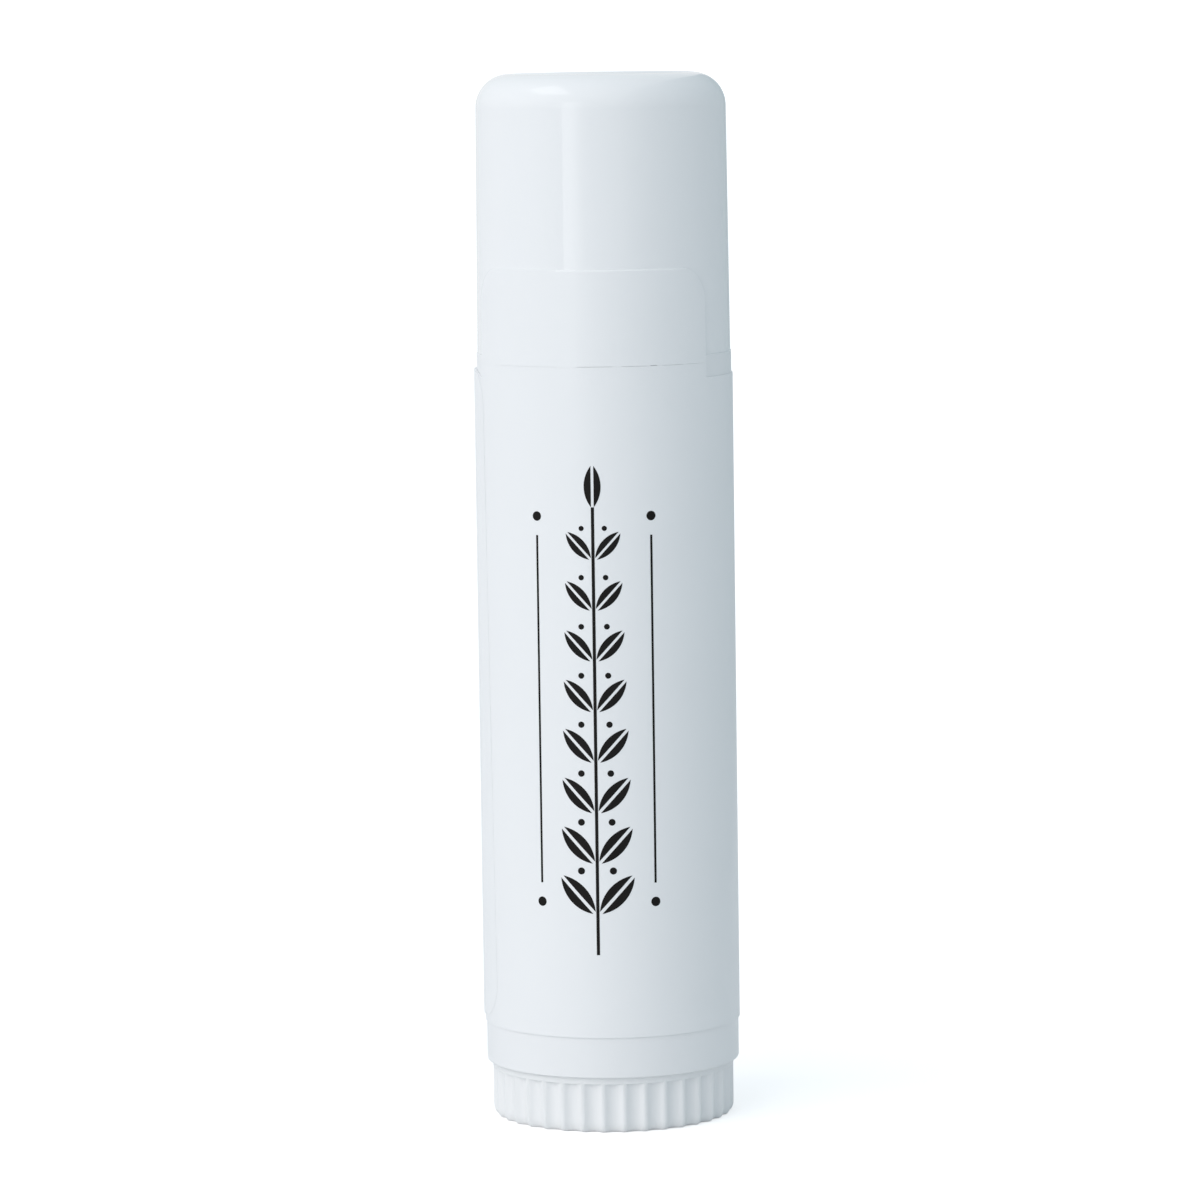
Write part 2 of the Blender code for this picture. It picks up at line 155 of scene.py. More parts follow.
choose_nothing()
bpy.ops.mesh.primitive_plane_add(size=FLOOR_WIDTH, location=(0, 0, 0))
floor = bpy.context.object
floor.name = "floor"
paper = bpy.data.materials.new("white_paper")
paper.use_nodes = True
paper_shader = paper.node_tree.nodes["Principled BSDF"]
paper_shader.inputs["Base Color"].default_value = (PAPER_GREY, PAPER_GREY, PAPER_GREY, 1)
paper_shader.inputs["Roughness"].default_value = 0.9
paper_shader.inputs["Specular IOR Level"].default_value = 0.1
paper_shader.inputs["Emission Color"].default_value = (1, 1, 1, 1)
glowing_rays = white_rays(paper.node_tree, PAPER_IN_GLOSS)
paper.node_tree.links.new(math_node(paper.node_tree, 'MULTIPLY', glowing_rays, PAPER_GLOW),
                          paper_shader.inputs["Emission Strength"])
floor.data.materials.append(paper)
print("floor is", floor.dimensions.x, "m wide")

# %% [markdown]
# ## The main light
# The picture shows one broad soft light from the front left and a slow fall to grey at the
# right. A window-sized lamp would do, but a sun lamp with a very wide angle gives the same
# soft shading everywhere on the stick, whatever its distance. It lights only the matt part of
# a surface here, because its mirror image would be far too wide.

# %% Hang the main light
STICK_MIDDLE = Vector((0, 0, 34 * MM))
WINDOW_FROM = (-48, 29)
WINDOW_ANGLE = 70
WINDOW_STRENGTH = 0.447 * math.pi


def direction(azimuth, elevation):
    """A unit vector towards a place that is counted in degrees from -Y towards +X, and up."""
    around, up = math.radians(azimuth), math.radians(elevation)
    return Vector((math.sin(around) * math.cos(up), -math.cos(around) * math.cos(up), math.sin(up)))


def hang(name, kind, azimuth, elevation, distance):
    """A lamp that looks at the middle of the stick."""
    away = direction(azimuth, elevation)
    data = bpy.data.lights.new(name, kind)
    lamp = bpy.data.objects.new(name, data)
    lamp.location = STICK_MIDDLE + away * distance
    lamp.rotation_mode = 'QUATERNION'
    lamp.rotation_quaternion = away.to_track_quat('Z', 'Y')
    bpy.context.scene.collection.objects.link(lamp)
    return lamp


window = hang("window", 'SUN', *WINDOW_FROM, 1)
window.data.angle = math.radians(WINDOW_ANGLE)
window.data.energy = WINDOW_STRENGTH
window.data.color = (1.075, 1.0, 0.98)
window.visible_glossy = False
print("window light strength:", round(WINDOW_STRENGTH, 2))

# %% [markdown]
# ## What the gloss reflects
# Gloss shows the room, and each thing in this room is a card: a plane that glows and is seen
# by mirror rays alone. On the round edge of the cap the picture has a small bright window, four
# sided and skewed. The camera's rays, followed from its four corners off the cap, give four
# directions, and the card is drawn between them. A lamp would also do, but only with square
# corners. The long bright band down the cap, sharp at its left and fading to the right, and the
# grey of the cap's right side come from upright cards with a gradient. The cap's flat top is
# seen nearly edge-on and is almost a mirror there, so it has a small card of its own behind.

# %% Make a card


def glowing(name, colour):
    """A black material that glows in one colour."""
    material = bpy.data.materials.new(name)
    material.use_nodes = True
    shader = material.node_tree.nodes["Principled BSDF"]
    shader.inputs["Base Color"].default_value = (0, 0, 0, 1)
    shader.inputs["Specular IOR Level"].default_value = 0
    shader.inputs["Emission Color"].default_value = (*colour, 1)
    shader.inputs["Emission Strength"].default_value = 1
    return material


def show_in_gloss(card, material):
    """Let a card be seen by mirror rays alone."""
    card.visible_camera = False
    card.visible_diffuse = False
    card.visible_shadow = False
    card.data.materials.append(material)
    print(card.name, "shows in the gloss")


def draw_line(name, points):
    """A line of edges through some points, extruded point by point and left in edit mode."""
    choose_nothing()
    bpy.ops.mesh.primitive_plane_add(size=MM)
    piece = bpy.context.object
    piece.name = name
    piece.data.name = name
    bpy.ops.object.mode_set(mode='EDIT')
    bpy.ops.mesh.select_mode(type='VERT')
    bpy.ops.mesh.select_all(action='SELECT')
    bpy.ops.mesh.merge(type='CENTER')
    bpy.ops.transform.translate(value=points[0])
    for here, there in zip(points, points[1:]):
        bpy.ops.mesh.extrude_region_move(TRANSFORM_OT_translate={"value": there - here})
    return piece


# %% Hang the small window
SPARK_AT = Vector((-3.2, -6.9, 65.7)) * MM
SPARK_CORNERS = ((-100, 48.9), (-102.2, 67.8), (-33.7, 46.9), (-70.9, 41.2))
SPARK_AWAY = 0.6
SPARK_GLOW = (2.3, 2.3, 2.3)

rays = [direction(*corner) for corner in SPARK_CORNERS]
middle_ray = sum(rays, Vector()).normalized()
spark = draw_line("spark_card", [SPARK_AT + ray * SPARK_AWAY / ray.dot(middle_ray) for ray in rays])
bpy.ops.mesh.select_all(action='SELECT')
bpy.ops.mesh.edge_face_add()
choose_nothing()
show_in_gloss(spark, glowing("spark_glow", SPARK_GLOW))

# %% Stand the cards


def stand_card(name, first, last, low, high, colours, fade):
    """An upright card on the line between two floor points, for mirror rays only.

    colours are its two glows, and fade gives where along the card, from 0 to 1, one turns into
    the other.
    """
    start, end = Vector((*first, 0)), Vector((*last, 0))
    run = end - start
    choose_nothing()
    bpy.ops.mesh.primitive_plane_add(size=1)
    card = bpy.context.object
    card.name = name
    card.scale = (run.length, high - low, 1)
    card.rotation_euler = (math.radians(90), 0, math.atan2(run.y, run.x))
    card.location = (start + end) / 2 + Vector((0, 0, (low + high) / 2))
    glow = glowing(name, colours[0])
    nodes, links = glow.node_tree.nodes, glow.node_tree.links
    place = nodes.new("ShaderNodeTexCoord")
    split = nodes.new("ShaderNodeSeparateXYZ")
    ranger = nodes.new("ShaderNodeMapRange")
    ranger.interpolation_type = 'SMOOTHSTEP'
    ranger.inputs["From Min"].default_value = fade[0] - 0.5
    ranger.inputs["From Max"].default_value = fade[1] - 0.5
    mix = nodes.new("ShaderNodeMix")
    mix.data_type = 'RGBA'
    mix.inputs["A"].default_value = (*colours[0], 1)
    mix.inputs["B"].default_value = (*colours[1], 1)
    links.new(place.outputs["Object"], split.inputs[0])
    links.new(split.outputs["X"], ranger.inputs["Value"])
    links.new(ranger.outputs["Result"], mix.inputs["Factor"])
    links.new(mix.outputs["Result"], nodes["Principled BSDF"].inputs["Emission Color"])
    show_in_gloss(card, glow)


WHITE_GLOW = (0.88, 0.9, 0.915)
BAND_GLOW = (2.1, 2.13, 2.15)
RIGHT_GLOW = (0.42, 0.5, 0.53)
LEFT_GLOW = (0.86, 0.89, 0.91)
TOP_GLOWS = ((0.67, 0.72, 0.755), (0.81, 0.86, 0.89))
CARDS = [
    ("band_card", (-0.348, -0.488), (-0.145, -0.582), 0, 0.3, (BAND_GLOW, WHITE_GLOW), (0.3, 1)),
    ("right_card", (0.07, -0.28), (0.07, 0.7), 0, 0.2, (WHITE_GLOW, RIGHT_GLOW), (0, 0.26)),
    ("back_card", (0.07, 0.7), (-0.1, 0.7), 0, 0.066, (RIGHT_GLOW, LEFT_GLOW), (0, 1)),
    ("left_card", (-0.1, 0.7), (-0.1, 0.0125), 0, 0.5, (LEFT_GLOW, WHITE_GLOW), (0.84, 1)),
    ("top_card", (0.03, 0.7), (-0.03, 0.7), 0.0665, 0.085, TOP_GLOWS, (0.2, 0.77))]
for card_values in CARDS:
    stand_card(*card_values)

# %% [markdown]
# ## Hands for edit mode
# By hand one would click the points, edges or faces to work on. A script has to say which ones
# it means, so the helpers here select by place: each gets a small test that is asked for
# every point, edge middle or face middle.

# %% Open a piece and select in it


def open_piece(piece):
    """Go into edit mode on one piece."""
    choose_nothing()
    bpy.context.view_layer.objects.active = piece
    piece.select_set(True)
    bpy.ops.object.mode_set(mode='EDIT')


def place_of(part):
    """Where a point, an edge or a face is: its own place or its middle."""
    if isinstance(part, bmesh.types.BMVert):
        return part.co
    if isinstance(part, bmesh.types.BMEdge):
        return (part.verts[0].co + part.verts[1].co) / 2
    return part.calc_center_median()


def pick(kind, test):
    """Select the points ('VERT'), edges ('EDGE') or faces ('FACE') whose place passes a test."""
    bpy.ops.mesh.select_mode(type=kind)
    bpy.ops.mesh.select_all(action='DESELECT')
    mesh = bpy.context.edit_object.data
    shape = bmesh.from_edit_mesh(mesh)
    parts = {'VERT': shape.verts, 'EDGE': shape.edges, 'FACE': shape.faces}[kind]
    chosen = [part for part in parts if test(place_of(part))]
    for part in chosen:
        part.select_set(True)
    shape.select_flush_mode()
    bmesh.update_edit_mesh(mesh)
    return len(chosen)


def add_modifier(piece, kind, **values):
    """Put one modifier on a piece and apply it at once."""
    choose_nothing()
    bpy.context.view_layer.objects.active = piece
    piece.select_set(True)
    modifier = piece.modifiers.new(kind.lower(), kind)
    for name, value in values.items():
        setattr(modifier, name, value)
    bpy.ops.object.modifier_apply(modifier=modifier.name)


def smooth(piece, degrees=32):
    """Shade smooth, but keep edges that bend by more than some degrees crisp.

    Smooth shading bends the light on a long flat wall if it ends in a small rounding, so each
    point leans to the larger faces round it.
    """
    choose_nothing()
    bpy.context.view_layer.objects.active = piece
    piece.select_set(True)
    bpy.ops.object.shade_smooth_by_angle(angle=math.radians(degrees))
    add_modifier(piece, 'WEIGHTED_NORMAL', mode='FACE_AREA', weight=50, keep_sharp=True)


def dress(piece, material, slot, body, *nodes):
    """Give a finished piece its material and tie it to the body it moves with."""
    piece.data.materials.clear()
    piece.data.materials.append(material)
    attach(piece, body)
    if nodes:
        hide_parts(*nodes)
    print(piece.name, "has", len(piece.data.polygons), "faces and rides on", body)


# %% [markdown]
# ## Turned shapes
# Cap, tube, wheel and balm are all round, and their moulds are made on a lathe. The natural way
# is a lathe here too: half of the outline is drawn as a line of edges in the XZ plane, its
# corners are rounded while it is still a line, where a bevel is cheap and exact, and then it
# is spun once round the Z axis.

# %% Draw, round and spin an outline
WELD = 0.001 * MM


def draw_outline(name, points):
    """A line of edges through (radius, height) points in millimetres."""
    return draw_line(name, [Vector((across, 0, height)) * MM for across, height in points])


def round_corner(across, height, radius, segments):
    """Round one corner of the open outline."""
    corner = Vector((across, 0, height)) * MM
    pick('VERT', lambda place: (place - corner).length < 2 * WELD)
    bpy.ops.mesh.bevel(offset=radius * MM, segments=segments, affect='VERTICES')


def spin_outline(piece, steps):
    """Spin the outline once round, close its seam and its poles, and turn its faces outwards."""
    bpy.ops.mesh.select_mode(type='VERT')
    bpy.ops.mesh.select_all(action='SELECT')
    bpy.ops.mesh.spin(steps=steps, angle=math.tau, axis=(0, 0, 1), center=(0, 0, 0))
    bpy.ops.mesh.select_all(action='SELECT')
    bpy.ops.mesh.remove_doubles(threshold=WELD)
    bpy.ops.mesh.normals_make_consistent(inside=False)
    choose_nothing()
    print(piece.name, "is spun:", len(piece.data.vertices), "points")


# %% [markdown]
# ## Surfaces
# White plastic is never one flat colour. The melt flows while it fills the mould and leaves
# faint streaks along the flow, the skin of the mould gives a fine grain, and the gloss differs
# a little from place to place. One noise pattern, stretched along the stick, drives colour,
# roughness and a very shallow bump. It reads Object coordinates, so it stays on the piece when
# the piece moves. The amounts are small: on a white surface, one part in a hundred is visible.

# %% A recipe for moulded and printed surfaces


def noise(material, size, stretch=1.0, detail=1.5):
    """A noise pattern with features of a given size in millimetres, stretched along Z."""
    nodes, links = material.node_tree.nodes, material.node_tree.links
    place = nodes.new("ShaderNodeTexCoord")
    mapping = nodes.new("ShaderNodeMapping")
    mapping.inputs["Scale"].default_value = (1, 1, 1 / stretch)
    pattern = nodes.new("ShaderNodeTexNoise")
    pattern.inputs["Scale"].default_value = 1 / (size * MM)
    pattern.inputs["Detail"].default_value = detail
    links.new(place.outputs["Object"], mapping.inputs["Vector"])
    links.new(mapping.outputs["Vector"], pattern.inputs["Vector"])
    return pattern.outputs["Fac"]


def spread(material, pattern, low, high):
    """Map a noise pattern's middle range to values between low and high."""
    ranger = material.node_tree.nodes.new("ShaderNodeMapRange")
    ranger.interpolation_type = 'SMOOTHSTEP'
    ranger.inputs["From Min"].default_value = 0.2
    ranger.inputs["From Max"].default_value = 0.8
    ranger.inputs["To Min"].default_value = low
    ranger.inputs["To Max"].default_value = high
    material.node_tree.links.new(pattern, ranger.inputs["Value"])
    return ranger.outputs["Result"]


def surface(name, colour, drift, flow, roughness, grain, depth):
    """A surface whose colour drifts along the flow, with uneven gloss and a fine grain.

    colour is linear, drift is the part by which it changes, flow is (size, stretch) of the
    streaks, roughness is (low, high), and grain and depth are the bump's size and height in mm.
    """
    material = bpy.data.materials.new(name)
    material.use_nodes = True
    nodes, links = material.node_tree.nodes, material.node_tree.links
    shader = nodes["Principled BSDF"]
    blend = nodes.new("ShaderNodeMix")
    blend.data_type = 'RGBA'
    blend.inputs["A"].default_value = (*[part * (1 - drift) for part in colour], 1)
    blend.inputs["B"].default_value = (*[min(part * (1 + drift), 1) for part in colour], 1)
    streaks = noise(material, flow[0], flow[1])
    links.new(spread(material, streaks, 0, 1), blend.inputs["Factor"])
    links.new(blend.outputs["Result"], shader.inputs["Base Color"])
    links.new(spread(material, noise(material, flow[0] / 2, flow[1] / 2), *roughness),
              shader.inputs["Roughness"])
    bump = nodes.new("ShaderNodeBump")
    bump.inputs["Strength"].default_value = 1
    bump.inputs["Distance"].default_value = depth * MM
    links.new(noise(material, grain, 1.0, 2.0), bump.inputs["Height"])
    links.new(bump.outputs["Normal"], shader.inputs["Normal"])
    return material


# %% [markdown]
# ## The cap
# The real cap is one thin glossy moulding, closed and well rounded at the top, with a small
# groove inside that springs over a bead on the neck. Its outside narrows very slightly
# upwards, so that it slides out of its mould. It could be a cylinder with a solidify modifier,
# but the wall is not even: the bore has a rounded lead-in, a groove and a rounded end. Drawing
# both faces of the wall in one outline gives each its own shape. The shallow dimple in the
# middle of the top is where the plastic entered the mould.

# %% Draw and spin the cap
CAP_RIM = 49.051
CAP_TOP = 66.7
CAP_WIDE = 8.05
CAP_NARROW = 7.92
CAP_BORE = 7.1
CAP_CEILING = 65.7
AROUND = 192

cap = draw_outline("cap_moulding", [
    (0, 66.64), (0.7, 66.64), (0.9, CAP_TOP), (CAP_NARROW, CAP_TOP), (CAP_WIDE, CAP_RIM),
    (CAP_BORE, CAP_RIM), (CAP_BORE, 50.725), (7.18, 50.99), (7.18, 51.51), (CAP_BORE, 51.775),
    (CAP_BORE, CAP_CEILING), (0, CAP_CEILING)])
round_corner(CAP_NARROW, CAP_TOP, 2.1, 16)
round_corner(CAP_BORE, CAP_RIM, 0.2, 3)
round_corner(CAP_BORE, CAP_CEILING, 1.2, 6)
spin_outline(cap, AROUND)
smooth(cap)

# %% Give the cap its gloss
cap_gloss = surface("cap_gloss", (0.875, 0.885, 0.895), 0.003, (5, 5), (0.022, 0.04), 0.6, 0.0002)
dress(cap, cap_gloss, "white_moulding", "cap", "cap")

# %% [markdown]
# ## The tube
# The tube carries everything: a thin neck under the cap, a shoulder the cap rests on, and
# straight sides that the label is glued to. Inside its foot is a groove into which the wheel
# snaps, and two low ribs run up the bore. They keep the balm's carrier from turning with the
# wheel, so that it has to climb. The outline goes right round the wall and ends where it
# began, so the spun wall is closed. The ribs are two boxes, joined on with a union.

# %% Draw and spin the tube
TUBE_RADIUS = 8.1
TUBE_FOOT = 3.57
TUBE_NECK = 6.95
SHOULDER = 49.05
MOUTH = 60.5
BORE = 6.2

tube = draw_outline("barrel_moulding", [
    (BORE, 30), (BORE, MOUTH), (TUBE_NECK, MOUTH), (TUBE_NECK, 51.7), (7.03, 51.475),
    (7.03, 51.025), (TUBE_NECK, 50.8), (TUBE_NECK, SHOULDER), (TUBE_RADIUS, SHOULDER),
    (TUBE_RADIUS, TUBE_FOOT), (BORE, TUBE_FOOT), (BORE, 4.1), (6.46, 4.35), (6.46, 4.85),
    (BORE, 5.1), (BORE, 30)])
round_corner(BORE, MOUTH, 0.12, 3)
round_corner(TUBE_NECK, MOUTH, 0.3, 6)
round_corner(TUBE_NECK, SHOULDER, 0.08, 3)
round_corner(TUBE_RADIUS, TUBE_FOOT, 0.12, 6)
spin_outline(tube, AROUND)

# %% Join the two ribs to the bore
RIB_FOOT = 5.95
RIB_TOP = 56
RIB_HALF = 0.45


def box(name, low, high):
    """A box between two corners in millimetres, with its place in its mesh."""
    choose_nothing()
    bpy.ops.mesh.primitive_cube_add(size=1)
    piece = bpy.context.object
    piece.name = name
    size = [(top - bottom) * MM for bottom, top in zip(low, high)]
    middle = [(top + bottom) / 2 * MM for bottom, top in zip(low, high)]
    bpy.ops.object.mode_set(mode='EDIT')
    bpy.ops.mesh.select_all(action='SELECT')
    bpy.ops.transform.resize(value=size, center_override=(0, 0, 0))
    bpy.ops.transform.translate(value=middle)
    choose_nothing()
    return piece


def combine(piece, tool, operation):
    """Join a tool to a piece or cut it out, and take the tool away."""
    add_modifier(piece, 'BOOLEAN', operation=operation, solver='EXACT', object=tool)
    bpy.data.objects.remove(tool)


for side in (-1, 1):
    low_x, high_x = sorted((side * 5.9, side * 6.5))
    rib = box("rib", (low_x, -RIB_HALF, RIB_FOOT), (high_x, RIB_HALF, RIB_TOP))
    combine(tube, rib, 'UNION')
smooth(tube)
print("the tube's wall is", round(TUBE_RADIUS - BORE, 2), "mm thick, and",
      round(TUBE_NECK - BORE, 2), "mm at the neck")

# %% Give the tube its satin gloss
tube_satin = surface("tube_satin", (0.845, 0.855, 0.865), 0.002, (5, 3), (0.28, 0.31), 0.3, 0.0005)
dress(tube, tube_satin, "white_moulding", "barrel", "barrel")

# %% [markdown]
# ## The turn wheel
# The wheel is what fingers turn. It has 36 shallow flutes that stop just below its top edge
# and run out through its rounded foot, so the foot is scalloped. One could cut 36 round bars
# out of a disc, but pressing the flutes in keeps the mesh regular: the disc is spun with 24
# columns of points for each flute, and the columns inside a flute are then scaled towards the
# axis, all 36 flutes at once. Two rings of points lie very close together near the top: the
# lower one is pressed in and the upper one stays, and that makes the ledge over each flute. The
# foot's rounding is taller than it is deep, so it is drawn as a quarter of an ellipse.

# %% Draw and spin the wheel
WHEEL_RADIUS = 7.75
FLUTES = 36
COLUMNS = 24
LEDGE = 3.15
LEDGE_STEP = 0.02
COLLAR_TOP = 3.55
FOOT_DEPTH = 0.38
FOOT_RISE = 0.7
PLUG_RADIUS = 6.05
PLUG_TOP = 5.65

turns = [math.radians(step * 10) for step in range(10)]
foot = [(WHEEL_RADIUS - FOOT_DEPTH * (1 - math.sin(turn)), FOOT_RISE * (1 - math.cos(turn)))
        for turn in turns]
wheel = draw_outline("wheel_moulding", [
    (0, 0.34), (0.5, 0.34), (0.6, 0.4), (4.8, 0.4), (5.2, 0), *foot,
    (WHEEL_RADIUS, LEDGE - LEDGE_STEP), (WHEEL_RADIUS, LEDGE), (WHEEL_RADIUS, COLLAR_TOP),
    (PLUG_RADIUS, COLLAR_TOP), (PLUG_RADIUS, 4.25), (6.31, 4.425), (6.31, 4.775),
    (PLUG_RADIUS, 4.95), (PLUG_RADIUS, PLUG_TOP), (0, PLUG_TOP)])
round_corner(WHEEL_RADIUS, COLLAR_TOP, 0.04, 3)
round_corner(PLUG_RADIUS, PLUG_TOP, 0.15, 3)
spin_outline(wheel, FLUTES * COLUMNS)

# %% Press the flutes in
FLUTE_DEPTH = 0.25
FLUTE_HALF = 4.05
RIDGE_EASE = 0.08
SIDE_FROM = 5.5

half_width = math.radians(FLUTE_HALF) * WHEEL_RADIUS
cutter = (half_width ** 2 + FLUTE_DEPTH ** 2) / (2 * FLUTE_DEPTH)


def flute_radius(degrees):
    """The wheel's radius in millimetres at an angle from the middle of a flute.

    The flute is a round cut, and where it meets the ridge the edge is eased.
    """
    middle = WHEEL_RADIUS - FLUTE_DEPTH + cutter
    across = middle * math.sin(math.radians(degrees))
    cut = middle * math.cos(math.radians(degrees)) - math.sqrt(cutter ** 2 - across ** 2)
    depth = WHEEL_RADIUS - cut
    return WHEEL_RADIUS - (depth + math.hypot(depth, RIDGE_EASE)) / 2


def flute_angle(place):
    """How many degrees a point is from the middle of the nearest flute."""
    pitch = 360 / FLUTES
    around = math.degrees(math.atan2(place.x, -place.y))
    return abs((around + pitch / 2) % pitch - pitch / 2)


def press(column):
    """Scale one column of every flute towards the axis, up to the ledge."""
    angle = column * 360 / FLUTES / COLUMNS
    share = flute_radius(angle) / WHEEL_RADIUS
    count = pick('VERT', lambda place: place.z < (LEDGE - LEDGE_STEP / 2) * MM
                 and math.hypot(place.x, place.y) > SIDE_FROM * MM
                 and abs(flute_angle(place) - angle) < 0.05)
    bpy.ops.transform.resize(value=(share, share, 1), center_override=(0, 0, 0))
    return count


open_piece(wheel)
pressed = [press(column) for column in range(COLUMNS // 2 + 1)]
choose_nothing()
print("pressed points in each column:", pressed)

# %% [markdown]
# ## The spindle
# The wheel and the spindle are one moulding. The spindle is a bar with an oval section that is
# twisted along its length, and its two long lobes make a steep double thread. It is left
# handed: turned clockwise from below, it lifts the balm. An oval bar is easy to make from a
# cylinder, and the Twist of a Simple Deform modifier turns it into the thread exactly, one
# turn for every 4 mm.

# %% Make the oval bar, its point and its twist
SPINDLE_FOOT = 5.2
THREAD_TOP = 55.0
SPINDLE_TOP = 56.2
LEAD = 4
SPINDLE_THIN = 1.3
SPINDLE_WIDE = 1.75
POINT_STEPS = ((0.6, 0.96), (0.4, 0.75), (0.2, 0.7))

choose_nothing()
bpy.ops.mesh.primitive_cylinder_add(vertices=24, radius=SPINDLE_THIN * MM,
                                    depth=(THREAD_TOP - SPINDLE_FOOT) * MM)
spindle = bpy.context.object
spindle.name = "spindle"
bpy.ops.object.mode_set(mode='EDIT')
bpy.ops.mesh.select_all(action='SELECT')
bpy.ops.transform.translate(value=(0, 0, (THREAD_TOP + SPINDLE_FOOT) / 2 * MM))
pick('EDGE', lambda place: SPINDLE_FOOT + 1 < place.z / MM < THREAD_TOP - 1)
bpy.ops.mesh.subdivide(number_cuts=240)
bpy.ops.mesh.select_all(action='SELECT')
bpy.ops.transform.resize(value=(SPINDLE_WIDE / SPINDLE_THIN, 1, 1), center_override=(0, 0, 0))
pick('FACE', lambda place: place.z > (THREAD_TOP - 0.01) * MM)
bpy.ops.mesh.inset(thickness=0.15 * MM)
for rise, share in POINT_STEPS:
    bpy.ops.mesh.extrude_region_move(TRANSFORM_OT_translate={"value": (0, 0, rise * MM)})
    bpy.ops.transform.resize(value=(share, share, 1), center_override=(0, 0, 0))
choose_nothing()
add_modifier(spindle, 'SIMPLE_DEFORM', deform_method='TWIST', deform_axis='Z',
             angle=-math.tau * (SPINDLE_TOP - SPINDLE_FOOT) / LEAD)
print("the thread makes", round((THREAD_TOP - SPINDLE_FOOT) / LEAD, 2), "turns")

# %% Join the spindle to the wheel
combine(wheel, spindle, 'UNION')
smooth(wheel, 40)
wheel_satin = surface("wheel_satin", (0.85, 0.86, 0.865), 0.005, (3, 2), (0.3, 0.38), 0.25, 0.0008)
dress(wheel, wheel_satin, "white_moulding", "wheel", "turn_wheel")

# %% [markdown]
# ## Film round a tube
# The label is a printed plastic film of less than a tenth of a millimetre. It could be a piece
# of a cylinder, but cut film has rounded corners, a lap and a torn edge, and those are easiest
# to cut while the film lies flat, as on the real roll. So the film is drawn flat in the XZ
# plane, where 1 mm along X is 1 mm round the tube, it gets a thickness, and the Bend of a
# Simple Deform modifier wraps it. It is first cut into narrow strips, because a face can only
# bend at its edges.

# %% Cut, thicken and wrap a film
GLUE = 0.01
FILM = 0.08
STRIP = 2


def along(degrees):
    """How far round the tube an angle is, in metres. 0 is the front and 90 is +X."""
    return math.radians(degrees) * TUBE_RADIUS * MM


def flat_sheet(name, left, right, low, high, lift):
    """A flat sheet between two angles and two heights, lifted off the tube by some millimetres."""
    choose_nothing()
    bpy.ops.mesh.primitive_plane_add(size=1)
    piece = bpy.context.object
    piece.name = name
    piece.data.name = name
    bpy.ops.object.mode_set(mode='EDIT')
    bpy.ops.mesh.select_all(action='SELECT')
    bpy.ops.transform.resize(value=(along(right - left), (high - low) * MM, 1),
                             center_override=(0, 0, 0))
    bpy.ops.transform.translate(value=(along((left + right) / 2), (high + low) / 2 * MM, lift * MM))
    choose_nothing()
    bpy.context.view_layer.objects.active = piece
    piece.select_set(True)
    piece.rotation_euler.x = math.radians(90)
    bpy.ops.object.transform_apply(location=True, rotation=True, scale=True)
    open_piece(piece)
    return piece


def cut_at(degrees):
    """Cut the open sheet along an upright line, even if another cut is very near."""
    bpy.ops.mesh.select_all(action='SELECT')
    bpy.ops.mesh.bisect(plane_co=(along(degrees), 0, 0), plane_no=(1, 0, 0), threshold=WELD)


def cut_strips(left, right):
    """Cut the open sheet into upright strips."""
    for index in range(math.ceil(left / STRIP), math.floor(right / STRIP) + 1):
        cut_at(index * STRIP)


def press_down(piece, test, share):
    """Mark the outline's points that pass a test: there the film keeps a share of its thickness."""
    shape = bmesh.from_edit_mesh(piece.data)
    thin = [vertex.index for vertex in shape.verts if vertex.is_boundary and test(vertex.co)]
    choose_nothing()
    group = piece.vertex_groups.new(name="thickness")
    group.add(range(len(piece.data.vertices)), 1, 'REPLACE')
    group.add(thin, share, 'REPLACE')
    return group.name


def wrap(piece, thickness, pressed=""):
    """Give a flat sheet its thickness, thinner where it is pressed, and wrap it round the tube."""
    add_modifier(piece, 'SOLIDIFY', thickness=thickness * MM, offset=1, vertex_group=pressed)
    places = [vertex.co.x for vertex in piece.data.vertices]
    width = max(places) - min(places)
    add_modifier(piece, 'SIMPLE_DEFORM', deform_method='BEND', deform_axis='Z',
                 angle=width / (TUBE_RADIUS * MM))
    open_piece(piece)
    bpy.ops.mesh.select_all(action='SELECT')
    bpy.ops.transform.translate(value=(0, -TUBE_RADIUS * MM, 0))
    choose_nothing()
    radii = [math.hypot(vertex.co.x, vertex.co.y) / MM for vertex in piece.data.vertices]
    print(piece.name, "is wrapped at radius", round(min(radii), 3), "to", round(max(radii), 3))


# %% [markdown]
# ## The label
# The label goes once round the tube and laps a little over its own start at the left. In front
# it has a wide neck that reaches up to the perforation just below the tube's shoulder. The
# end of the film that lies on top has rounded corners and was cut at a slight slant. The end
# beneath is tucked well under it, as far as the place where the upper film has risen, so that
# no dark slit is left between the two, and it is cut a little shorter there, to stay hidden.

# %% Cut the label flat
LABEL_START = -98
LABEL_TUCK = -84
LABEL_END = 296.8
LABEL_FOOT = 6.2
LABEL_HEAD = 47.64
NECK_LEFT = -71
NECK_RIGHT = 51.7
NECK_HEAD = 48.56
LABEL_CREEP = 0.5
CREEP_FROM = 110
END_SLANT = 6.6
LAP_CORNER = 2.3
CORNER_STEPS = 10
# How the hidden end is moved: from which angle back, at its head or foot, and how far up
HIDDEN_FROM = LABEL_TUCK - 2
TUCKS = [(LABEL_TUCK, "head", 0.49), (HIDDEN_FROM, "head", -0.09), (HIDDEN_FROM, "foot", 0.44)]

